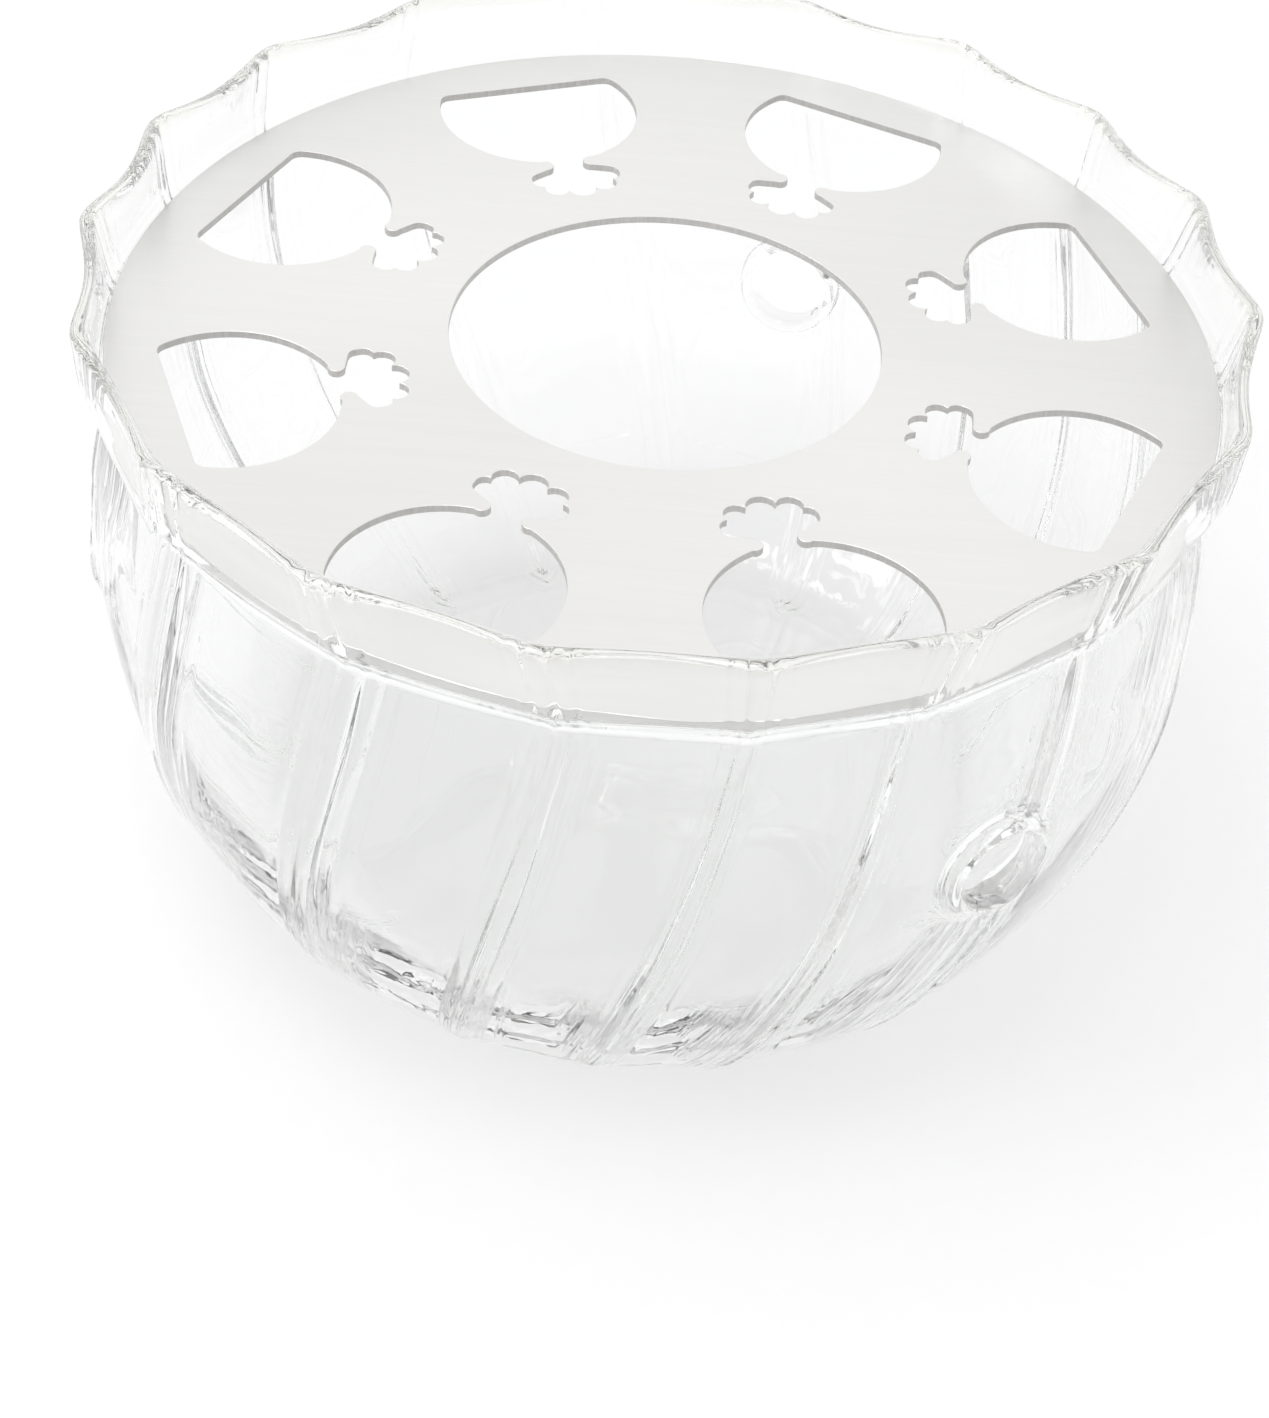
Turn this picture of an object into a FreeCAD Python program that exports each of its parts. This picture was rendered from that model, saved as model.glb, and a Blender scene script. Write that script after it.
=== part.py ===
"""Teapot warmer: a ribbed glass bowl with a loose steel plate resting on its inner ledge.

Own frame in millimetres: +Z up, origin at the centre of the bowl's flat foot.
"""
import FreeCAD, Part

import math
import os

import Sketcher
from FreeCAD import Placement, Rotation, Vector

# Driving dimensions: millimetres, degrees and plain counts.
SIZES = [
    # sheet-steel plate
    ("plate_radius", 57.0),
    ("plate_thickness", 0.8),
    ("centre_hole_radius", 22.3),
    ("cutout_count", 8),
    ("cutout_first_angle", 21.4),
    ("bulb_centre", 45.6),
    ("bulb_radius", 11.2),
    ("bulb_chord", 50.8),
    ("crown_tip", 27.2),
    ("crown_half_width", 4.95),
    ("stem_centre", 33.9),
    ("stem_half_width", 1.75),
    # glass bowl, from the foot up
    ("rib_count", 18),
    ("rib_swirl", 14.0),
    ("swirl_power", 1.2),
    ("body_wander", 4.3),
    ("rim_wander", 1.3),
    ("wander_angle", 251.0),
    ("wander_waves", 3),
    ("foot_radius", 39.0),
    ("foot_thickness", 2.4),
    ("floor_radius", 37.15),
    ("shoulder_power", 1.75),
    ("belly_height", 40.3),
    ("belly_radius", 59.7),
    ("panel_dip", 0.9),
    ("wall", 2.4),
    ("inner_rib", 0.15),
    ("inner_waist_height", 52.3),
    ("inner_waist_radius", 56.6),
    ("neck_height", 61.8),
    ("neck_taper_power", 2.2),
    ("throat_radius", 57.6),
    ("ledge_height", 64.2),
    ("ledge_thickness", 1.7),
    ("ledge_radius", 55.2),
    ("ledge_root_drop", 2.2),
    ("ledge_root_radius", 55.7),
    ("seat_radius", 57.4),
    ("rim_foot_radius", 58.6),
    ("rim_foot_rib", 0.5),
    ("rim_height", 73.3),
    ("rim_tip_radius", 60.4),
    ("rim_dip", 1.9),
    ("rim_wall", 1.15),
    ("lip_round", 0.4),
    # air vents in the bowl's wall
    ("vent_1_angle", 75.0),
    ("vent_2_angle", 186.0),
    ("vent_3_angle", 308.5),
    ("vent_1_height", 35.6),
    ("vent_2_height", 37.5),
    ("vent_3_height", 38.4),
    ("vent_axis_radius", 57.9),
    ("vent_radius", 4.2),
    ("drill_radius", 5.3),
    ("drill_length", 20.0),
    ("collar_radius", 6.4),
    ("collar_length", 3.1),
    ("collar_melt", 0.5),
]

doc = FreeCAD.newDocument("teapot_warmer")
sheet = doc.addObject("Spreadsheet::Sheet", "sizes")
for row, (alias, value) in enumerate(SIZES, start=1):
    sheet.set(f"A{row}", alias)
    sheet.set(f"B{row}", str(value))
    sheet.setAlias(f"B{row}", alias)
doc.recompute()


def size(alias):
    """The value of one named cell of the sheet."""
    return float(sheet.get(alias))


def origin_part(body, role):
    """One plane or axis of a body's own origin."""
    return next(part for part in body.Origin.OriginFeatures if part.Role == role)


def flat_sketch(body, name):
    """A new sketch on the body's horizontal origin plane."""
    sketch = body.newObject("Sketcher::SketchObject", name)
    sketch.AttachmentSupport = [(origin_part(body, "XY_Plane"), "")]
    sketch.MapMode = "FlatFace"
    return sketch


def named_size(sketch, constraint, alias):
    """Add a dimension to a sketch and bind it to a cell."""
    index = sketch.addConstraint(constraint)
    sketch.renameConstraint(index, alias)
    sketch.setExpression(f"Constraints.{alias}", f"sizes.{alias}")


# ---------------------------------------------------------------- steel plate

def disc_sketch(body):
    """The plate's outer edge and its round centre hole."""
    sketch = flat_sketch(body, "disc_outline")
    for index, alias in enumerate(("plate_radius", "centre_hole_radius")):
        sketch.addGeometry(Part.Circle(Vector(0, 0, 0), Vector(0, 0, 1), size(alias)))
        sketch.addConstraint(Sketcher.Constraint("Coincident", index, 3, -1, 1))
        named_size(sketch, Sketcher.Constraint("Radius", index, size(alias)), alias)
    return sketch


def bulb_sketch(body):
    """The round fruit of one cut-out: an arc closed by a straight chord on its outer side."""
    sketch = flat_sketch(body, "bulb_outline")
    centre, radius, chord = size("bulb_centre"), size("bulb_radius"), size("bulb_chord")
    half_angle = math.acos((chord - centre) / radius)
    half_chord = radius * math.sin(half_angle)
    circle = Part.Circle(Vector(centre, 0, 0), Vector(0, 0, 1), radius)
    sketch.addGeometry(Part.ArcOfCircle(circle, half_angle, 2 * math.pi - half_angle))
    sketch.addGeometry(Part.LineSegment(Vector(chord, -half_chord, 0), Vector(chord, half_chord, 0)))
    sketch.addConstraint(Sketcher.Constraint("Coincident", 0, 2, 1, 1))
    sketch.addConstraint(Sketcher.Constraint("Coincident", 0, 1, 1, 2))
    sketch.addConstraint(Sketcher.Constraint("Vertical", 1))
    sketch.addConstraint(Sketcher.Constraint("PointOnObject", 0, 3, -1))
    named_size(sketch, Sketcher.Constraint("DistanceX", -1, 1, 0, 3, centre), "bulb_centre")
    named_size(sketch, Sketcher.Constraint("Radius", 0, radius), "bulb_radius")
    named_size(sketch, Sketcher.Constraint("DistanceX", -1, 1, 1, 1, chord), "bulb_chord")
    return sketch


def crown_sketch(body):
    """The five-lobed crown of one cut-out, with the pinched stem that runs into the bulb."""
    sketch = flat_sketch(body, "crown_outline")
    tip, width = size("crown_tip"), size("crown_half_width")
    stem, pinch = size("stem_centre"), size("stem_half_width")
    overlap = (stem + 2.2, pinch + 1.5)
    bulb_side = (stem + 0.9, pinch + 1.2)
    crown_side = (stem - 0.45 * pinch, pinch + 0.9)
    shoulder_end = (stem - 1.5, 0.87 * width)
    side_end = (tip + 4.0, width)
    side_notch = (tip + 2.7, 0.79 * width)
    middle_notch = (tip + 1.4, 0.31 * width)
    # Half of the outline, from inside the bulb to the middle lobe: the start, middle and end of
    # each arc, or the two ends of a line.
    half = [
        [overlap, bulb_side],
        [bulb_side, (stem, pinch), crown_side],
        [crown_side, shoulder_end],
        [shoulder_end, (stem - 2.0, 0.98 * width), side_end],
        [side_end, (tip + 3.1, 0.94 * width), side_notch],
        [side_notch, (tip + 0.8, 0.6 * width), middle_notch],
    ]
    mirrored = [[(x, -y) for x, y in reversed(piece)] for piece in reversed(half)]
    middle_lobe = [middle_notch, (tip, 0.0), mirrored[0][0]]
    closing_line = [mirrored[-1][-1], overlap]
    edges = half + [middle_lobe] + mirrored + [closing_line]
    for index, piece in enumerate(edges):
        points = [Vector(x, y, 0) for x, y in piece]
        sketch.addGeometry(Part.Arc(*points) if len(points) == 3 else Part.LineSegment(*points))
        sketch.addConstraint(Sketcher.Constraint("Block", index))
    return sketch


def pocket_through(body, name, sketch):
    """Cut a sketch right through the plate, both ways from the sketch plane."""
    pocket = body.newObject("PartDesign::Pocket", name)
    pocket.Profile = sketch
    pocket.Type = "ThroughAll"
    pocket.Midplane = True
    return pocket


def make_plate():
    """Flat disc with a centre hole and a ring of pomegranate cut-outs that let the heat up."""
    body = doc.addObject("PartDesign::Body", "rest_plate")
    body.Label = "rest_plate"
    pad = body.newObject("PartDesign::Pad", "disc")
    pad.Profile = disc_sketch(body)
    pad.setExpression("Length", "sizes.plate_thickness")
    bulb = pocket_through(body, "bulb_cut", bulb_sketch(body))
    crown = pocket_through(body, "crown_cut", crown_sketch(body))
    ring = body.newObject("PartDesign::PolarPattern", "cutout_ring")
    ring.Originals = [bulb, crown]
    ring.Axis = (origin_part(body, "Z_Axis"), [""])
    ring.Angle = 360
    ring.setExpression("Occurrences", "sizes.cutout_count")
    body.Tip = ring
    body.Placement = Placement(Vector(0, 0, size("ledge_height")),
                               Rotation(Vector(0, 0, 1), size("cutout_first_angle")))
    body.setExpression("Placement.Base.z", "sizes.ledge_height")
    return body


# ----------------------------------------------------------------- glass bowl

def swirl_at(height):
    """Clockwise turn of the ribs below the throat, growing towards the foot, in degrees."""
    drop = max(0.0, size("neck_height") - height) / size("neck_height")
    return -size("rib_swirl") * drop ** size("swirl_power")


def wander_at(angle, height):
    """Hand-drawn unevenness of the rib spacing: less at the rim than in the body, in degrees."""
    share = (height - size("neck_height")) / (size("rim_height") - size("neck_height"))
    share = min(1.0, max(0.0, share))
    amount = size("body_wander") + (size("rim_wander") - size("body_wander")) * share
    return amount * math.cos(math.radians(size("wander_waves") * (angle - size("wander_angle"))))


def ribbed_outline(height, tip_radius, panel_radius):
    """Closed outline of arcs at one height: a crest at every rib and a shallower panel between."""
    count = int(size("rib_count"))
    step = 360.0 / count

    def point(angle, radius):
        turn = math.radians(angle + swirl_at(height) + wander_at(angle, height))
        return Vector(radius * math.cos(turn), radius * math.sin(turn), height)

    arcs = []
    for rib in range(count):
        first, last = rib * step, (rib + 1) % count * step
        middle = point((rib + 0.5) * step, panel_radius)
        arcs.append(Part.Arc(point(first, tip_radius), middle, point(last, tip_radius)))
    return Part.Wire([arc.toShape() for arc in arcs])


def ribbed_solid(sections, ruled=False):
    """Closed solid through outlines given as (height, radius at the ribs, radius at the panels)."""
    return Part.makeLoft([ribbed_outline(*section) for section in sections], True, ruled)


def shoulder(turn):
    """Height and outer rib radius on the rounded lower wall; turn is 0 at the belly, 90 at the foot."""
    power = 2.0 / size("shoulder_power")
    angle = math.radians(turn)
    height = size("belly_height") * (1 - math.sin(angle) ** power)
    spread = size("belly_radius") - size("foot_radius")
    return height, size("foot_radius") + spread * max(0.0, math.cos(angle)) ** power


def outer_wall():
    """The bowl's outside, from the foot to the underside of the flared rim."""
    dip = size("panel_dip")
    sections = []
    for turn in (90, 80, 65, 50, 35, 18, 0):
        height, radius = shoulder(turn)
        sections.append((height, radius, radius - dip))
    belly, belly_height = size("belly_radius"), size("belly_height")
    throat, neck = size("throat_radius"), size("neck_height")
    for share in (0.45, 0.8, 1.0):
        radius = belly - (belly - throat) * share ** size("neck_taper_power")
        sections.append((belly_height + share * (neck - belly_height), radius, radius - dip))
    return ribbed_solid(sections)


def outer_rim():
    """The flared band above the throat, with a pointed crest at every rib and a softened lip."""
    neck, ledge = size("neck_height"), size("ledge_height")
    throat, foot = size("throat_radius"), size("rim_foot_radius")
    tip, panel = size("rim_tip_radius"), size("rim_tip_radius") - size("rim_dip")
    soft = size("lip_round")
    top = size("rim_height") - soft
    band = ribbed_solid([
        (neck, throat, throat - size("panel_dip")),
        (ledge, foot + size("rim_foot_rib"), foot),
        ((ledge + top) / 2, (foot + tip) / 2, foot),
        (top, tip, panel),
    ])
    lip = ribbed_solid([(top, tip, panel), (top + soft, tip - soft, panel - soft)], ruled=True)
    return band.fuse(lip)


def inner_hollow():
    """The room inside the bowl, up through the opening in the ledge."""
    rib = size("inner_rib")
    sections = [(size("foot_thickness"), size("floor_radius"), size("floor_radius") - rib)]
    for turn in (60, 46, 32, 16, 0):
        height, radius = shoulder(turn)
        inner = radius - size("wall")
        sections.append((height, inner, inner - rib))
    waist, root = size("inner_waist_radius"), size("ledge_root_radius")
    opening, thickness = size("ledge_radius"), size("ledge_thickness")
    ledge_bottom = size("ledge_height") - thickness
    sections.append((size("inner_waist_height"), waist, waist - rib))
    sections.append((ledge_bottom - size("ledge_root_drop"), root, root))
    sections.append((ledge_bottom, opening, opening))
    throat = Part.makeCylinder(opening, 2 * thickness, Vector(0, 0, ledge_bottom))
    return ribbed_solid(sections).fuse(throat)


def rim_hollow():
    """The room above the ledge, which the plate drops into and the pot stands in."""
    seat, ledge, top = size("seat_radius"), size("ledge_height"), size("rim_height")
    tip = size("rim_tip_radius") - size("rim_wall")
    panel = tip - size("rim_dip")
    above = 0.05
    return ribbed_solid([
        (ledge, seat, seat),
        ((ledge + top) / 2, (seat + tip) / 2, (seat + panel) / 2),
        (top + above, tip, panel),
    ])


def make_shell():
    """The bowl's glass before its vents: outside less inside, with the ledge left standing."""
    shell = doc.addObject("Part::Feature", "bowl_shell")
    glass = outer_wall().fuse(outer_rim())
    glass = glass.cut(inner_hollow()).cut(rim_hollow())
    shell.Shape = glass.removeSplitter()
    return shell


def wall_cylinder(name, vent, radius_alias, length_alias):
    """A cylinder through the wall at one vent, half outside and half inside."""
    angle, height = size(f"vent_{vent}_angle"), size(f"vent_{vent}_height")
    outward = Rotation(Vector(0, 0, 1), angle) * Rotation(Vector(0, 1, 0), 90)
    turn = math.radians(angle)
    inner_end = size("vent_axis_radius") - size(length_alias) / 2
    start = Vector(inner_end * math.cos(turn), inner_end * math.sin(turn), height)
    cylinder = doc.addObject("Part::Cylinder", f"{name}_{vent}")
    cylinder.setExpression("Radius", f"sizes.{radius_alias}")
    cylinder.setExpression("Height", f"sizes.{length_alias}")
    cylinder.Placement = Placement(start, outward)
    return cylinder


def make_collar(vent):
    """The fire-polished ring of glass round one vent, with its four edges melted round."""
    ring = doc.addObject("Part::Cut", f"collar_ring_{vent}")
    ring.Base = wall_cylinder("collar_outside", vent, "collar_radius", "collar_length")
    ring.Tool = wall_cylinder("collar_bore", vent, "vent_radius", "drill_length")
    doc.recompute()
    collar = doc.addObject("Part::Fillet", f"collar_{vent}")
    collar.Base = ring
    melt = size("collar_melt")
    circles = [number for number, edge in enumerate(ring.Shape.Edges, start=1)
               if isinstance(edge.Curve, Part.Circle)]
    collar.Edges = [(number, melt, melt) for number in circles]
    return collar


def make_bowl():
    """Ribbed bowl with round vents, each edged by a melted-in ring of glass."""
    vents = (1, 2, 3)
    pierced = doc.addObject("Part::Cut", "pierced_shell")
    pierced.Base = make_shell()
    holes = doc.addObject("Part::MultiFuse", "vent_holes")
    holes.Shapes = [wall_cylinder("vent_hole", vent, "drill_radius", "drill_length") for vent in vents]
    pierced.Tool = holes
    bowl = doc.addObject("Part::MultiFuse", "glass_bowl")
    bowl.Shapes = [pierced] + [make_collar(vent) for vent in vents]
    bowl.Label = "glass_bowl"
    return bowl


def check_and_write(parts):
    """Stop on any failed object or open shape, then write one file per sub-part."""
    for thing in doc.Objects:
        if {"Invalid", "Error"} & set(thing.State):
            raise RuntimeError(f"{thing.Name} failed: {thing.State}")
    for part in parts:
        shape = part.Shape
        if shape.isNull() or not shape.isValid() or not shape.Solids:
            raise RuntimeError(f"{part.Label} has no valid solid")
    os.makedirs("parts", exist_ok=True)
    for part in parts:
        part.Shape.exportStep(f"parts/{part.Label}.step")
        box = part.Shape.BoundBox
        print(f"{part.Label}: {len(part.Shape.Solids)} solid, {part.Shape.Volume / 1000:.2f} cm3, "
              f"x {box.XMin:.2f}..{box.XMax:.2f}, y {box.YMin:.2f}..{box.YMax:.2f}, "
              f"z {box.ZMin:.2f}..{box.ZMax:.2f}")


plate = make_plate()
bowl = make_bowl()
doc.recompute()
check_and_write([bowl, plate])
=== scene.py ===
"""Finished look of a teapot warmer: a blown, ribbed glass bowl and the brushed steel plate on its ledge."""

import math

import bmesh
import bpy
from mathutils import Matrix, Vector, noise


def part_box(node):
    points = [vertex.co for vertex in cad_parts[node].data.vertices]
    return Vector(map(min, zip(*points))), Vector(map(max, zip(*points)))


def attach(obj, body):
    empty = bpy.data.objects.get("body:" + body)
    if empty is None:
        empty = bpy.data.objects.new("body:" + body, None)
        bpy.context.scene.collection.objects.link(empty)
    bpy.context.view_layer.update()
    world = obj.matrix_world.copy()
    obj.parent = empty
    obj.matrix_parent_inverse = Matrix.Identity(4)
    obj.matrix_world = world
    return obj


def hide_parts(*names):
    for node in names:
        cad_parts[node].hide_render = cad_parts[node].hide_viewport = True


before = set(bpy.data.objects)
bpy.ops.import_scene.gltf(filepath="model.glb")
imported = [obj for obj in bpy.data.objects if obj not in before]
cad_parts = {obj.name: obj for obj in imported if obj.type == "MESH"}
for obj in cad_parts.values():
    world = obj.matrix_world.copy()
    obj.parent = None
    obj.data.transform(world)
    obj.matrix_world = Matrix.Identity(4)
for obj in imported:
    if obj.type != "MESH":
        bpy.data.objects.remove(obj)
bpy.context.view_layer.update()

MM = 0.001

# ------------------------------------------------------------------ sizes, in millimetres
bowl_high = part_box("glass_bowl")[1] / MM
plate_low, plate_high = (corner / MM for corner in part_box("rest_plate"))

RIM_TIP = bowl_high.x - 0.23      # radius of the rim's crests
RIM_TOP = bowl_high.z - 0.04
LEDGE = plate_low.z               # top of the ledge, under the plate
PLATE_THICK = plate_high.z - plate_low.z

RIBS = 18
RIB_PITCH = 360.0 / RIBS
COLUMNS_PER_RIB = 34
SWIRL = 14.0                      # clockwise turn of the ribs from throat to foot, in degrees
SWIRL_POWER = 1.2
BODY_WANDER = 4.3                 # unevenness of the rib spacing, in degrees, in the body and at the rim
RIM_WANDER = 1.3
WANDER_WAVES = 3
WANDER_ANGLE = 251.0
FOOT_RADIUS = 39.0
BELLY_RADIUS = 58.95              # at the middle of a panel
BELLY_HEIGHT = 40.3
THROAT_HEIGHT = 61.6
THROAT_RADIUS = 57.0
SHOULDER_POWER = 1.75
WALL = 1.75
FLOOR = 2.6                       # thickness of the bowl's floor
LEDGE_RADIUS = 55.3
SEAT_RADIUS = 57.4
RIM_PANEL = 58.5                  # outer radius of the rim between crests
RIM_WALL = 1.15

VENTS = ((75.0, 35.6), (186.0, 37.5), (308.5, 38.4))    # angle round the bowl, height of the middle
VENT_RADIUS = 4.45
BEAD_WIDTH = 1.9                  # melted ring round each vent, seen face on
BEAD_PROUD = 0.6                  # how far that ring stands out of both faces of the wall
PATCH_EDGE = 7.4                  # the wall is rebuilt in rings out to here round each vent,
PATCH_RADIUS = 8.2                # and joined to the rest of the wall here
BELLY_BAND = (20, 58)             # heights between which the vents' wall is looked up

HOLE_RADIUS = 22.3
PLATE_RADIUS = 57.0
CUTOUTS = 8
FIRST_CUTOUT = 21.4


def mix(a, b, share):
    return a + (b - a) * share


def ease(x):
    """0 to 1 with a gentle start and end."""
    x = min(1.0, max(0.0, x))
    return x * x * (3 - 2 * x)


# ------------------------------------------------------------------ shader helper
class Value:
    """A number socket that takes part in Python arithmetic."""

    def __init__(self, tree, socket):
        self.tree = tree
        self.socket = socket

    def _maths(self, operation, *inputs):
        node = self.tree.nodes.new("ShaderNodeMath")
        node.operation = operation
        for slot, item in zip(node.inputs, inputs):
            if isinstance(item, Value):
                self.tree.links.new(item.socket, slot)
            else:
                slot.default_value = item
        return Value(self.tree, node.outputs[0])

    def __add__(self, other): return self._maths("ADD", self, other)
    def __radd__(self, other): return self._maths("ADD", other, self)
    def __sub__(self, other): return self._maths("SUBTRACT", self, other)
    def __rsub__(self, other): return self._maths("SUBTRACT", other, self)
    def __mul__(self, other): return self._maths("MULTIPLY", self, other)
    def __rmul__(self, other): return self._maths("MULTIPLY", other, self)

    def __abs__(self): return self._maths("ABSOLUTE", self)

    def sine(self):
        return self._maths("SINE", self)

    def step(self, low, high):
        """0 below low, 1 above high, smooth between."""
        share = self._maths("DIVIDE", self - low, high - low)
        share = self._maths("MINIMUM", self._maths("MAXIMUM", share, 0.0), 1.0)
        return share * share * (3.0 - 2.0 * share)


class Nodes:
    """A node tree, and one method that adds any node to it."""

    def __init__(self, tree):
        self.tree = tree

    def node(self, kind, settings=None, output=0, **sockets):
        node = self.tree.nodes.new("ShaderNode" + kind)
        for key, item in (settings or {}).items():
            setattr(node, key, item)
        for key, item in sockets.items():
            self.plug(node.inputs[key.replace("_", " ")], item)
        return Value(self.tree, node.outputs[output])

    def plug(self, slot, item):
        if isinstance(item, Value):
            self.tree.links.new(item.socket, slot)
        else:
            slot.default_value = item

    def blend(self, share, first, second):
        node = self.tree.nodes.new("ShaderNodeMix")
        node.data_type = "RGBA"
        self.plug(node.inputs[0], share)
        self.plug(node.inputs[6], first)
        self.plug(node.inputs[7], second)
        return Value(self.tree, node.outputs[2])


class Material(Nodes):
    """A node material with its Principled shader."""

    def __init__(self, name):
        self.data = bpy.data.materials.new(name)
        self.data.use_nodes = True
        super().__init__(self.data.node_tree)
        self.shader = self.tree.nodes["Principled BSDF"]

    def place(self):
        """Object coordinates, in metres."""
        return self.node("TexCoord", output=3)

    def finish(self, **sockets):
        for key, item in sockets.items():
            self.plug(self.shader.inputs[key.replace("_", " ")], item)
        return self.data


def clear_glass():
    """Clear heat-proof glass: drawn ripples along each rib, and a faint straw tint in the lip."""
    glass = Material("clear_glass")
    place = glass.place()
    height = glass.node("SeparateXYZ", output=2, Vector=place)
    lip = height.step((RIM_TOP - 1.8) * MM, (RIM_TOP - 0.2) * MM)
    base = 1.0 - height.step(0.2 * MM, 3.0 * MM)
    drift = glass.node("TexNoise", Vector=place, Scale=55.0, Detail=2.0)
    clear = (0.985, 0.990, 0.987, 1)
    tinted = glass.blend(lip * (0.35 + 0.5 * drift), clear, (0.88, 0.855, 0.77, 1))
    tinted = glass.blend(base * 0.35, tinted, (0.94, 0.955, 0.93, 1))
    smear = glass.node("TexNoise", Vector=place, Scale=38.0, Detail=4.0)
    # 0 on a rib's crest and 1 in the middle of a panel, carried by the mesh
    fold = glass.node("Attribute", {"attribute_name": "fold"}, output=2)
    long_drift = glass.node("TexNoise", Vector=place, Scale=70.0, Detail=2.0)
    strands = (fold * 32.0 + long_drift * 2.5).sine()
    by_rib = (1.0 - fold.step(0.04, 0.50)) * (0.35 + 0.9 * drift)
    waves = glass.node("TexNoise", Vector=place, Scale=75.0, Detail=1.0)
    ripples = (strands * by_rib + waves * 0.9) * (1.0 - 0.8 * lip)
    bump = glass.node("Bump", Height=ripples, Strength=1.0, Distance=0.00009)
    return glass.finish(
        Base_Color=tinted, Roughness=0.003 + 0.015 * smear.step(0.55, 0.8), Metallic=0.0,
        Transmission_Weight=1.0, IOR=1.474, Normal=bump)


def brushed_steel():
    """Satin stainless sheet: fine straight brushing along X, clouding, and duller laser-cut edges, the
    outermost one lighter."""
    steel = Material("brushed_steel")
    place = steel.place()
    along = steel.node("Mapping", Vector=place, Scale=(60.0, 5200.0, 300.0))
    hairs = steel.node("TexNoise", Vector=along, Scale=1.0, Detail=3.0, Roughness=0.6)
    wide = steel.node("Mapping", Vector=place, Scale=(18.0, 900.0, 100.0))
    bands = steel.node("TexNoise", Vector=wide, Scale=1.0, Detail=2.0)
    cloud = steel.node("TexNoise", Vector=place, Scale=30.0, Detail=3.0)
    tone = 0.5 * hairs + 0.3 * bands + 0.2 * cloud
    face = steel.blend(tone, (0.77, 0.765, 0.755, 1), (0.87, 0.865, 0.855, 1))
    height = steel.node("SeparateXYZ", output=2, Vector=place)
    skin = 0.06
    cut = height.step(plate_low.z * MM, (plate_low.z + skin) * MM)
    cut = cut * (1.0 - height.step((plate_high.z - skin) * MM, plate_high.z * MM))
    standing = steel.node("Mapping", Vector=place, Scale=(3800.0, 3800.0, 150.0))
    streaks = steel.node("TexNoise", Vector=standing, Scale=1.0, Detail=2.0)
    edge = steel.blend(streaks, (0.56, 0.55, 0.54, 1), (0.76, 0.745, 0.735, 1))
    flat = steel.node("Mapping", Vector=place, Scale=(1.0, 1.0, 0.0))
    outward = steel.node("VectorMath", {"operation": "LENGTH"}, output=1, Vector=flat)
    # the plate's outer cut edge is coloured lighter than the cut-outs' edges
    lighter_outer_edge = outward.step((PLATE_RADIUS - 0.6) * MM, (PLATE_RADIUS - 0.3) * MM)
    edge = steel.blend(lighter_outer_edge, edge, (0.84, 0.83, 0.82, 1))
    bump = steel.node("Bump", Height=hairs + streaks * cut, Strength=0.16, Distance=0.00006)
    return steel.finish(
        Base_Color=steel.blend(cut, face, edge), Roughness=0.34 + 0.12 * hairs + 0.1 * cut, Metallic=1.0,
        Anisotropic=0.35, Normal=bump)


# ------------------------------------------------------------------ glass bowl
class Station:
    """One ring of the bowl's skin: panel radius, height, how far the crests stand out, and the narrow rib."""

    def __init__(self, radius, height, crest=0.0, rib=0.0, lift=0.0, inside=False):
        self.radius = radius
        self.height = height
        self.crest = crest
        self.rib = rib
        self.lift = lift
        self.inside = inside

    def towards(self, other, share):
        return Station(*(mix(getattr(self, name), getattr(other, name), share)
                         for name in ("radius", "height", "crest", "rib", "lift")),
                       inside=share > 0.5)


def shoulder(share, radius, height, foot, floor):
    """A point on the rounded lower wall: share 0 on the foot, 1 at the belly."""
    angle = (1 - share) * math.pi / 2
    power = 2.0 / SHOULDER_POWER
    up = height - (height - floor) * math.sin(angle) ** power
    out = foot + (radius - foot) * max(0.0, math.cos(angle)) ** power
    return out, up


def run(first, last, count):
    """Stations between two, the first left out."""
    return [first.towards(last, step / count) for step in range(1, count + 1)]


def bend(first, knee, last, count):
    """Stations along a soft bend that leaves first and reaches last by way of knee."""
    rings = []
    for step in range(1, count + 1):
        share = step / count
        rings.append(first.towards(knee, share).towards(knee.towards(last, share), share))
    return rings


def outer_stations():
    rings = [Station(0.0, 0.7)]
    rings += run(rings[-1], Station(24.0, 0.55, 0.0, 0.0), 4)
    rings += bend(rings[-1], Station(31.0, 0.0, 0.1, 0.1), Station(FOOT_RADIUS, 0.05, 0.2, 0.3), 7)
    steps = 34
    for step in range(1, steps + 1):
        share = ease(step / steps) * 0.35 + 0.65 * step / steps
        out, up = shoulder(share, BELLY_RADIUS, BELLY_HEIGHT, FOOT_RADIUS, 0.05)
        rings.append(Station(out, up, mix(0.2, 0.55, share), mix(0.3, 0.26, share)))
    belly = rings[-1]
    throat = Station(THROAT_RADIUS, THROAT_HEIGHT, 0.45, 0.22)
    rings += bend(belly, Station(BELLY_RADIUS - 0.1, 52.5, 0.55, 0.26), throat, 12)
    seat = Station(SEAT_RADIUS + 1.4, LEDGE + 1.3, 0.6, 0.2, 0.0)
    rings += bend(throat, Station(THROAT_RADIUS + 0.1, LEDGE - 0.9, 0.45, 0.2), seat, 7)
    brim = Station(RIM_PANEL, RIM_TOP - RIM_WALL / 2 - 0.5, RIM_TIP - RIM_PANEL, 0.0, 0.5)
    rings += bend(seat, Station(SEAT_RADIUS + 1.5, LEDGE + 5.5, 1.0, 0.1, 0.15), brim, 10)
    return rings


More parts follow.
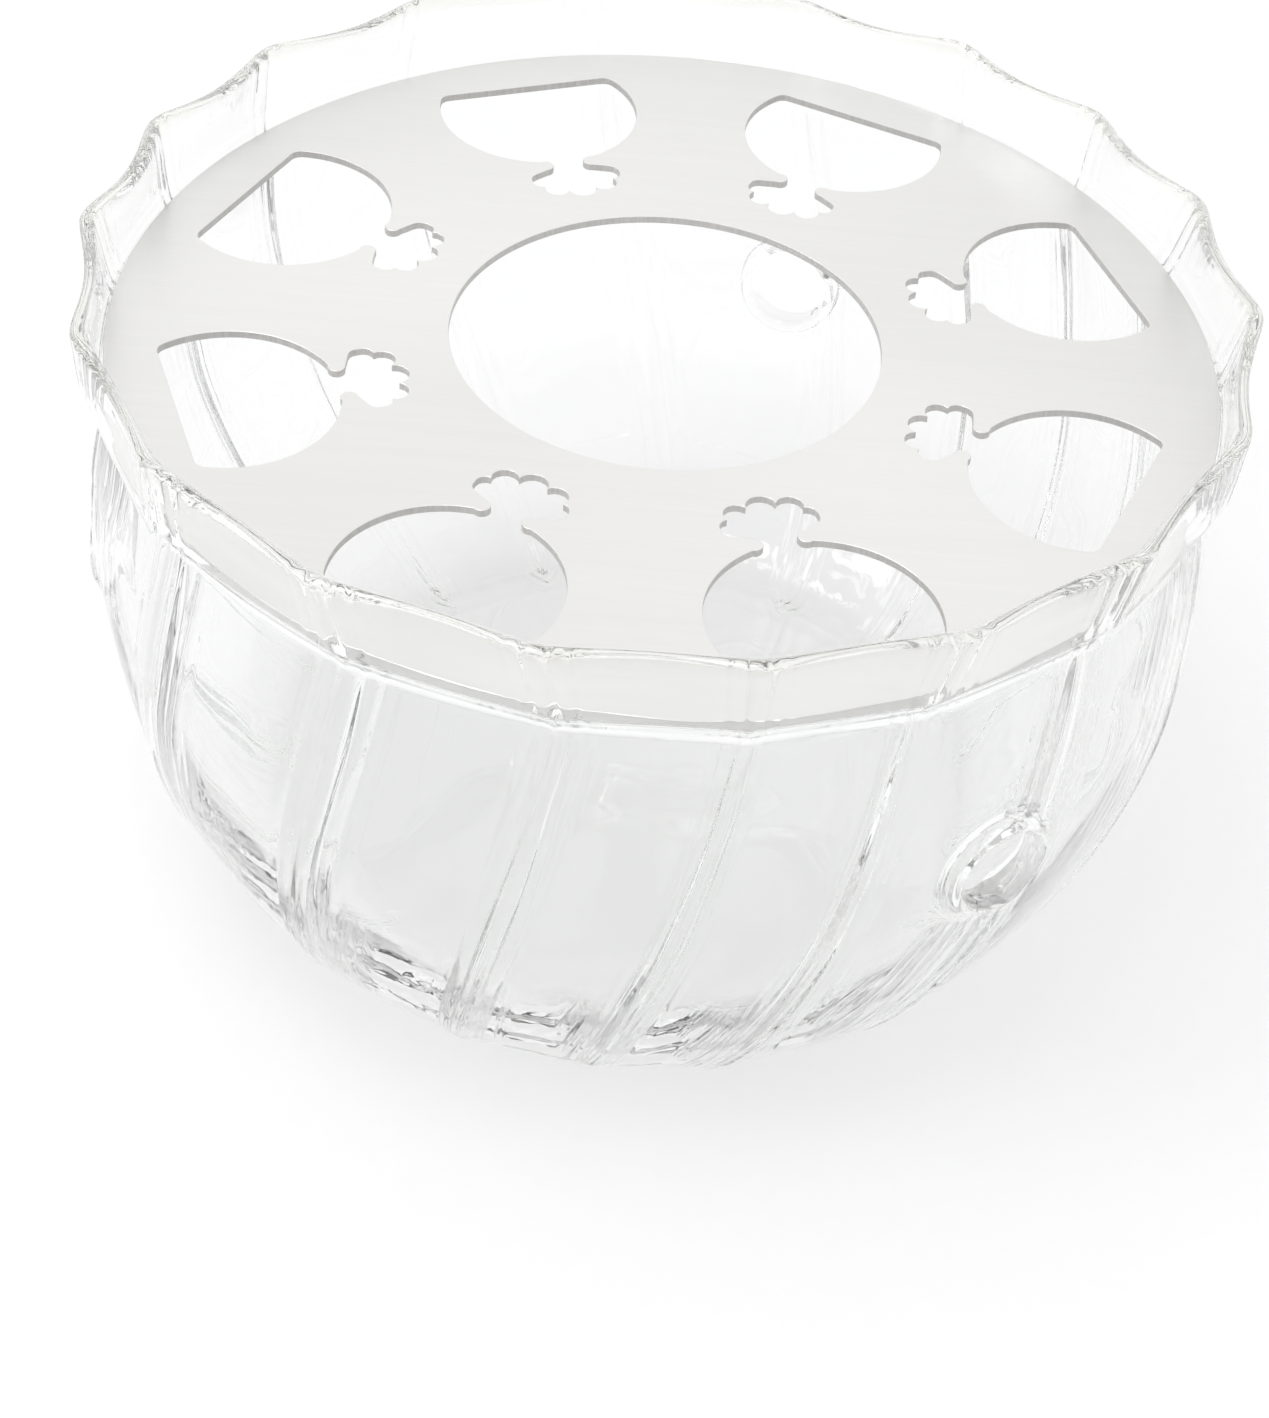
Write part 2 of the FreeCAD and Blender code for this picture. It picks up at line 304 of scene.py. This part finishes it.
def inner_stations():
    """From just inside the rim's lip down to the middle of the floor."""
    brim = Station(RIM_PANEL - RIM_WALL, RIM_TOP - RIM_WALL / 2 - 0.5, 1.15, 0.12, 0.5, True)
    seat = Station(SEAT_RADIUS, LEDGE + 0.5, 0.25, 0.0, 0.0, True)
    rings = [brim] + bend(brim, Station(SEAT_RADIUS, LEDGE + 5.0, 0.6, 0.1, 0.0, True), seat, 9)
    shelf = Station(LEDGE_RADIUS + 0.5, LEDGE, 0.0, 0.0, 0.0, True)
    rings += bend(seat, Station(SEAT_RADIUS, LEDGE, 0.1, 0.0, 0.0, True), shelf, 5)
    under = Station(LEDGE_RADIUS + 0.35, LEDGE - 2.3, 0.0, 0.1, 0.0, True)
    rings += bend(shelf, Station(LEDGE_RADIUS - 1.1, LEDGE - 1.0, 0.0, 0.0, 0.0, True), under, 8)
    inner_belly = BELLY_RADIUS - WALL
    belly = Station(inner_belly, BELLY_HEIGHT, 0.25, -0.5, 0.0, True)
    rings += bend(under, Station(inner_belly - 0.1, 53.0, 0.1, -0.5, 0.0, True), belly, 12)
    steps = 28
    for step in range(1, steps + 1):
        share = 1 - (ease(step / steps) * 0.35 + 0.65 * step / steps)
        out, up = shoulder(share, inner_belly, BELLY_HEIGHT, FOOT_RADIUS - 3.2, FLOOR)
        rings.append(Station(out, up, mix(0.15, 0.25, share), mix(-0.45, -0.5, share), 0.0, True))
    rings += run(rings[-1], Station(22.0, FLOOR - 0.1, 0.0, 0.0, 0.0, True), 5)
    rings += run(rings[-1], Station(0.0, FLOOR + 0.1, 0.0, 0.0, 0.0, True), 3)
    return rings


def bowl_stations():
    """The whole closed profile, foot to lip to floor, with the lip melted round."""
    outside, inside = outer_stations(), inner_stations()
    edge, back = outside[-1], inside[0]
    lip = []
    for step in range(1, 8):
        turn = math.pi * step / 8
        ring = edge.towards(back, (1 - math.cos(turn)) / 2)
        ring.height += math.sin(turn) * RIM_WALL / 2
        lip.append(ring)
    return outside + lip + inside


def twist_at(height):
    """How far the ribs have turned by this height, in degrees: none above the throat."""
    drop = max(0.0, THROAT_HEIGHT - height) / THROAT_HEIGHT
    return -SWIRL * drop ** SWIRL_POWER


def wander_at(angle, height):
    """Hand-drawn unevenness of the rib spacing: small at the rim, larger in the body."""
    share = (height - THROAT_HEIGHT) / (RIM_TOP - THROAT_HEIGHT)
    amount = mix(BODY_WANDER, RIM_WANDER, min(1.0, max(0.0, share)))
    return amount * math.cos(math.radians(WANDER_WAVES * (angle - WANDER_ANGLE)))


def rib_offset(phase):
    """0 on a crest to 1 in the middle of a panel, for an angle measured in rib pitches."""
    return 2 * abs(phase - round(phase))


def crest_shape(offset, height):
    """1 on the crest and 0 mid-panel: a flat panel to each side of a rounded corner, softest at the rim."""
    soft = mix(0.10, 0.24, ease((height - THROAT_HEIGHT) / (RIM_TOP - THROAT_HEIGHT)))
    rounded = (math.hypot(offset, soft) - soft) / (math.hypot(1.0, soft) - soft)
    return (1 - rounded) ** 2


def skin_point(ring, phase):
    """Place on the bowl's skin of one station at an angle counted in rib pitches."""
    offset = rib_offset(phase)
    angle = phase * RIB_PITCH
    angle += twist_at(ring.height) + wander_at(angle, ring.height)
    crest = crest_shape(offset, ring.height)
    narrow = math.exp(-(offset / 0.13) ** 2)
    number = round(phase) % RIBS
    strength = 1 + 0.18 * math.sin(2.3 * number + 0.7)
    radius = ring.radius + ring.crest * crest + ring.rib * narrow * strength
    turn = math.radians(angle)
    height = ring.height + ring.lift * crest * strength - ring.lift * 0.1
    place = Vector((radius * math.cos(turn), radius * math.sin(turn), height))
    seed = Vector((0, 0, 40.0 if ring.inside else 0.0))
    slow = noise.noise(place / 15.0 + seed) * (0.16 if ring.inside else 0.09)
    quick = noise.noise(place / 5.0 - seed) * 0.03
    near_foot = 1 - ease((ring.height - 2.0) / 9.0)
    pinch = noise.noise(place / 2.1 + seed) * 0.26 * near_foot * ease((ring.radius - 34.0) / 6.0)
    hold = min(1.0, ring.radius / 30.0)
    place.x += (slow + quick + pinch) * hold * math.cos(turn)
    place.y += (slow + quick + pinch) * hold * math.sin(turn)
    return place


def crowded(phase):
    """Column spacing: closer together by each crest, where the glass bends sharply."""
    gather = 1.45
    whole = round(phase)
    side = phase - whole
    return whole + math.copysign(0.5 * (2 * abs(side)) ** gather, side)


def spin_profile(bm, rings):
    """Spin the profile into a skin whose vertices remember their station and column."""
    station = bm.verts.layers.int.new("station")
    chain = []
    for index, ring in enumerate(rings):
        vert = bm.verts.new((ring.radius, 0.0, ring.height))
        vert[station] = index
        chain.append(vert)
    edges = [bm.edges.new(pair) for pair in zip(chain, chain[1:])]
    bmesh.ops.spin(bm, geom=chain + edges, axis=(0, 0, 1), cent=(0, 0, 0), angle=math.tau,
                   steps=RIBS * COLUMNS_PER_RIB, use_merge=True)
    bmesh.ops.remove_doubles(bm, verts=bm.verts, dist=0.0001)
    return station


def vent_coordinates(place, vent_angle, vent_height):
    """Distances along and up the wall from a vent's middle, or None on the bowl's far side."""
    turn = math.radians(vent_angle)
    axis = Vector((math.cos(turn), math.sin(turn), 0))
    side = Vector((-math.sin(turn), math.cos(turn), 0))
    if place.dot(axis) < 0.7 * BELLY_RADIUS:
        return None
    return place.dot(side), place.z - vent_height


def belly_ring(rings, inside, height):
    """The station of the outer or inner skin at a height on the belly, interpolated."""
    lowest, highest = BELLY_BAND
    same = [ring for ring in rings if ring.inside == inside and lowest < ring.height < highest]
    near = sorted(same, key=lambda ring: abs(ring.height - height))[:2]
    low, high = sorted(near, key=lambda ring: ring.height)
    ring = low.towards(high, (height - low.height) / (high.height - low.height))
    ring.inside = inside
    return ring


def phase_at(angle, height):
    """The angle counted in rib pitches once the ribs' swirl and wander are taken out."""
    phase = (angle - twist_at(height)) / RIB_PITCH
    for _ in range(4):
        phase = (angle - twist_at(height) - wander_at(phase * RIB_PITCH, height)) / RIB_PITCH
    return phase


def wall_radius(rings, inside, angle, height):
    """Radius of the outer or inner skin at an angle and height on the belly."""
    place = skin_point(belly_ring(rings, inside, height), phase_at(angle, height))
    return math.hypot(place.x, place.y)


def vent_profile():
    """Section of one vent's melted ring: distance from its axis, side (1 outer skin, -1 inner), and
    how far it stands proud of that skin, or None where it rolls round through the wall."""
    centre = VENT_RADIUS + BEAD_WIDTH / 2
    root = centre + BEAD_WIDTH * 0.62
    rows = [(PATCH_RADIUS, 1.0, 0.0), (PATCH_EDGE, 1.0, 0.0), (root + 0.25, 1.0, 0.03), (root, 1.0, 0.12)]
    steps = 14
    for step in range(steps + 1):
        turn = math.radians(40 + step * 280 / steps)
        rows.append((centre + BEAD_WIDTH / 2 * math.cos(turn), math.sin(turn), None))
    return rows + [(root, -1.0, 0.1), (root + 0.25, -1.0, 0.02),
                   (PATCH_EDGE, -1.0, 0.0), (PATCH_RADIUS, -1.0, 0.0)]


def vent_section():
    """The profile spun into flat rings, each vertex keeping its side and how far it stands proud."""
    section = bmesh.new()
    side_layer = section.verts.layers.float.new("side")
    proud_layer = section.verts.layers.float.new("proud")
    rolled = -1.0
    chain = []
    for distance, side, proud in vent_profile():
        vert = section.verts.new((distance, 0.0, 0.0))
        vert[side_layer] = side
        vert[proud_layer] = rolled if proud is None else proud
        chain.append(vert)
    edges = [section.edges.new(pair) for pair in zip(chain, chain[1:])]
    bmesh.ops.spin(section, geom=chain + edges, axis=(0, 0, 1), cent=(0, 0, 0), angle=math.tau,
                   steps=64, use_merge=True)
    return section, side_layer, proud_layer


def open_vent(bm, rings, vent_angle, vent_height):
    """Replace a disc of both skins by rings of faces that roll over a bead into the hole."""
    doomed = []
    for vert in bm.verts:
        spot = vent_coordinates(vert.co, vent_angle, vent_height)
        if spot and math.hypot(*spot) < PATCH_RADIUS + 0.8:
            doomed.append(vert)
    bmesh.ops.delete(bm, geom=doomed, context="VERTS")
    axis = math.radians(vent_angle)
    section, side_layer, proud_layer = vent_section()
    for vert in section.verts:
        along, up = vert.co.x, vert.co.y
        turn = axis + math.atan2(along, BELLY_RADIUS)
        height = vent_height + up
        outer = wall_radius(rings, False, math.degrees(turn), height)
        inner = wall_radius(rings, True, math.degrees(turn), height)
        side, proud = vert[side_layer], vert[proud_layer]
        if proud < 0:
            out = (outer + inner) / 2 + side * ((outer - inner) / 2 + BEAD_PROUD)
        else:
            out = outer + proud if side > 0 else inner - proud
        deep = out * math.cos(turn - axis)
        vert.co = (deep * math.cos(axis) - along * math.sin(axis),
                   deep * math.sin(axis) + along * math.cos(axis), height)
    vent_rings = bpy.data.meshes.new("vent_rings")
    section.to_mesh(vent_rings)
    section.free()
    bm.from_mesh(vent_rings)
    bpy.data.meshes.remove(vent_rings)
    loops = {True: [], False: []}
    for edge in bm.edges:
        if len(edge.link_faces) == 1:
            middle = (edge.verts[0].co + edge.verts[1].co) / 2
            inside = belly_ring(rings, True, middle.z).radius
            loops[math.hypot(middle.x, middle.y) > inside + WALL / 2].append(edge)
    for loop in loops.values():
        bmesh.ops.bridge_loops(bm, edges=loop)


def mark_folds(bm):
    """Give each vertex its distance from the nearest rib's crest, 0 to 1, for the glass's ripples."""
    fold = bm.verts.layers.float.new("fold")
    for vert in bm.verts:
        angle = math.degrees(math.atan2(vert.co.y, vert.co.x))
        off_floor = ease((math.hypot(vert.co.x, vert.co.y) - 30.0) / 10.0)
        vert[fold] = mix(1.0, rib_offset(phase_at(angle, vert.co.z)), off_floor)


def glass_bowl(material):
    """The blown bowl: spun profile, ribs and rim drawn out of it, vents opened and melted."""
    rings = bowl_stations()
    bm = bmesh.new()
    station = spin_profile(bm, rings)
    for vert in bm.verts:
        ring = rings[vert[station]]
        if ring.radius < 0.001:
            continue
        phase = crowded(math.degrees(math.atan2(vert.co.y, vert.co.x)) / RIB_PITCH)
        vert.co = skin_point(ring, phase)
    for angle, height in VENTS:
        open_vent(bm, rings, angle, height)
    bmesh.ops.remove_doubles(bm, verts=bm.verts, dist=0.002)
    bmesh.ops.recalc_face_normals(bm, faces=bm.faces)
    mark_folds(bm)
    bmesh.ops.scale(bm, vec=(MM, MM, MM), verts=bm.verts)
    return finish_mesh("glass_bowl_blown", bm, material, smooth=True)


def finish_mesh(name, bm, material, smooth):
    mesh = bpy.data.meshes.new(name)
    for face in bm.faces:
        face.smooth = smooth
    bm.to_mesh(mesh)
    bm.free()
    mesh.materials.append(material)
    piece = bpy.data.objects.new(name, mesh)
    bpy.context.scene.collection.objects.link(piece)
    return piece


# ------------------------------------------------------------------ steel plate
def arc_through(first, middle, last, count):
    """Points along the circle arc through three, the first left out."""
    (ax, ay), (bx, by), (cx, cy) = first, middle, last
    span = 2 * (ax * (by - cy) + bx * (cy - ay) + cx * (ay - by))
    ox = ((ax * ax + ay * ay) * (by - cy) + (bx * bx + by * by) * (cy - ay)
          + (cx * cx + cy * cy) * (ay - by)) / span
    oy = ((ax * ax + ay * ay) * (cx - bx) + (bx * bx + by * by) * (ax - cx)
          + (cx * cx + cy * cy) * (bx - ax)) / span
    radius = math.hypot(ax - ox, ay - oy)
    start = math.atan2(ay - oy, ax - ox)
    via = (math.atan2(by - oy, bx - ox) - start) % math.tau
    sweep = (math.atan2(cy - oy, cx - ox) - start) % math.tau
    if via > sweep:
        sweep -= math.tau
    return [(ox + radius * math.cos(start + sweep * step / count),
             oy + radius * math.sin(start + sweep * step / count)) for step in range(1, count + 1)]


def pomegranate():
    """Outline of one cut-out on the +X side: round fruit with a flat outer end, pinched neck and
    five-lobed crown pointing to the plate's middle."""
    centre, radius, chord = 45.6, 11.2, 50.8
    tip, width, neck, pinch = 27.2, 4.95, 33.9, 1.75
    corner = 0.9
    half_chord = math.sqrt(radius ** 2 - (chord - centre) ** 2)
    bulb_end = (neck + 0.92, pinch + 1.3)
    turn = math.atan2(half_chord, chord - centre) + corner / radius
    bulb_start = (centre + radius * math.cos(turn), radius * math.sin(turn))
    half = [(chord, half_chord - corner)]
    half += arc_through(half[-1], (chord - 0.2, half_chord - 0.12), bulb_start, 4)
    bulb_middle = (centre + radius * math.cos(2.1), radius * math.sin(2.1))
    half += arc_through(bulb_start, bulb_middle, bulb_end, 26)
    half += arc_through(bulb_end, (neck, pinch), (neck - 0.8, pinch + 0.9), 8)
    half.append((neck - 1.5, 0.87 * width))
    half += arc_through(half[-1], (neck - 2.0, 0.98 * width), (tip + 4.0, width), 3)
    half += arc_through(half[-1], (tip + 3.1, 0.96 * width), (tip + 2.7, 0.79 * width), 5)
    half += arc_through(half[-1], (tip + 0.8, 0.62 * width), (tip + 1.4, 0.31 * width), 7)
    lobe = arc_through(half[-1], (tip, 0.0), (tip + 1.4, -0.31 * width), 8)
    return half + lobe + [(x, -y) for x, y in reversed(half[:-1])]


def circle(radius, count):
    return [(radius * math.cos(math.tau * step / count), radius * math.sin(math.tau * step / count))
            for step in range(count)]


def turned(outline, angle):
    c, s = math.cos(math.radians(angle)), math.sin(math.radians(angle))
    return [(x * c - y * s, x * s + y * c) for x, y in outline]


def steel_plate(material):
    """Laser-cut disc: a filled flat curve with thickness and a fine broken edge, made a mesh."""
    broken_edge = 0.07
    curve = bpy.data.curves.new("plate_outline", "CURVE")
    curve.dimensions = "2D"
    curve.fill_mode = "BOTH"
    curve.extrude = (PLATE_THICK / 2 - broken_edge) * MM
    curve.bevel_depth = broken_edge * MM
    curve.bevel_resolution = 1
    curve.offset = -broken_edge * MM
    outlines = [circle(PLATE_RADIUS, 256), circle(HOLE_RADIUS, 160)]
    for number in range(CUTOUTS):
        outlines.append(turned(pomegranate(), FIRST_CUTOUT + number * 360 / CUTOUTS))
    for outline in outlines:
        spline = curve.splines.new("POLY")
        spline.points.add(len(outline) - 1)
        for point, (x, y) in zip(spline.points, outline):
            point.co = (x * MM, y * MM, 0, 1)
        spline.use_cyclic_u = True
    template = bpy.data.objects.new("plate_outline", curve)
    mesh = bpy.data.meshes.new_from_object(template)
    bpy.data.objects.remove(template)
    bm = bmesh.new()
    bm.from_mesh(mesh)
    bmesh.ops.remove_doubles(bm, verts=bm.verts, dist=0.000002)
    bmesh.ops.translate(bm, vec=(0, 0, (plate_low.z + plate_high.z) / 2 * MM), verts=bm.verts)
    bmesh.ops.recalc_face_normals(bm, faces=bm.faces)
    return finish_mesh("rest_plate_cut", bm, material, smooth=False)


# ------------------------------------------------------------------ stage, lights, camera
def studio_floor():
    """Pale table with painted light: an emission glow, brightest round the bowl and fading away from it, that
    also lightens the shadows cast on it.
    """
    bm = bmesh.new()
    bmesh.ops.create_circle(bm, cap_ends=True, segments=96, radius=4.0)
    table = Material("pale_table_painted_glow")
    grain = table.node("TexNoise", Vector=table.place(), Scale=400.0, Detail=3.0)
    colour = table.blend(grain, (0.30, 0.30, 0.30, 1), (0.32, 0.32, 0.32, 1))
    reach = table.node("VectorMath", {"operation": "LENGTH"}, output=1, Vector=table.place())
    # painted pool of light: the floor's emission colour is white round the bowl and fades to grey away from
    # it
    glow = table.blend(reach.step(0.35, 0.85), (1.0, 1.0, 1.0, 1), (0.40, 0.40, 0.40, 1))
    floor = finish_mesh("studio_floor", bm, table.finish(
        Base_Color=colour, Roughness=0.9, Emission_Color=glow, Emission_Strength=0.645), False)


def softbox(name, place, aim, width, height, watts):
    light = bpy.data.lights.new(name, "AREA")
    light.shape = "RECTANGLE"
    light.size = width
    light.size_y = height
    light.energy = watts
    lamp = bpy.data.objects.new(name, light)
    lamp.location = place
    lamp.rotation_euler = (Vector(aim) - Vector(place)).to_track_quat("-Z", "Y").to_euler()
    bpy.context.scene.collection.objects.link(lamp)


def studio_air():
    """Pale surround: brightest behind and above, dimmer straight overhead and at the horizon, with a
    darker flag low on each side, so the glass has edges to show."""
    world = bpy.data.worlds.new("studio_air")
    world.use_nodes = True
    bpy.context.scene.world = world
    air = Nodes(world.node_tree)
    towards = air.node("TexCoord")
    up = air.node("SeparateXYZ", output=2, Vector=towards)
    behind = air.node("SeparateXYZ", output=1, Vector=towards)
    across = abs(air.node("SeparateXYZ", output=0, Vector=towards))
    glow = 0.60 + 0.28 * up.step(0.0, 0.25) + 0.26 * behind.step(0.45, 0.95) - 0.24 * up.step(0.78, 0.98)
    flag = across.step(0.80, 0.92) * (1.0 - up.step(0.14, 0.34))
    glow = glow * (1.0 - 0.62 * flag)
    air.plug(world.node_tree.nodes["Background"].inputs["Strength"], glow)
    world.node_tree.nodes["Background"].inputs["Color"].default_value = (1.0, 1.0, 1.0, 1)


def studio_camera():
    """Looking down into the bowl from in front, a little rolled."""
    back, above = 4.0998, 2.8677      # distances from the plate's middle, in plate radii
    looking_down, rolled = 42.73, 4.80
    reach = PLATE_RADIUS * MM
    camera = bpy.data.cameras.new("camera")
    camera.sensor_width = 36.0
    camera.lens = 69.74
    camera.clip_start = 0.01
    view = bpy.data.objects.new("camera", camera)
    view.location = (0.0, -back * reach, above * reach + plate_high.z * MM)
    tilt = Matrix.Rotation(math.radians(90 - looking_down), 4, "X")
    roll = Matrix.Rotation(math.radians(rolled), 4, "Z")
    view.rotation_euler = (tilt @ roll).to_euler()
    bpy.context.scene.collection.objects.link(view)
    bpy.context.scene.camera = view


studio_camera()
studio_air()
studio_floor()
softbox("overhead_softbox", (-0.20, -0.10, 0.80), (0, 0, 0.03), 0.5, 0.3, 2.2)
softbox("window_softbox", (-0.75, -0.25, 0.45), (0, 0, 0.04), 0.3, 0.6, 2.0)
bpy.context.scene.view_settings.view_transform = "Standard"
LIGHT_BOUNCES = 32                # light turns back inside the thick glass many times before it leaves
bpy.context.scene.cycles.max_bounces = LIGHT_BOUNCES
bpy.context.scene.cycles.transmission_bounces = LIGHT_BOUNCES
bpy.context.scene.cycles.glossy_bounces = LIGHT_BOUNCES

bowl = glass_bowl(clear_glass())
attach(bowl, "bowl")
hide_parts("glass_bowl")

plate = steel_plate(brushed_steel())
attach(plate, "plate")
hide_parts("rest_plate")
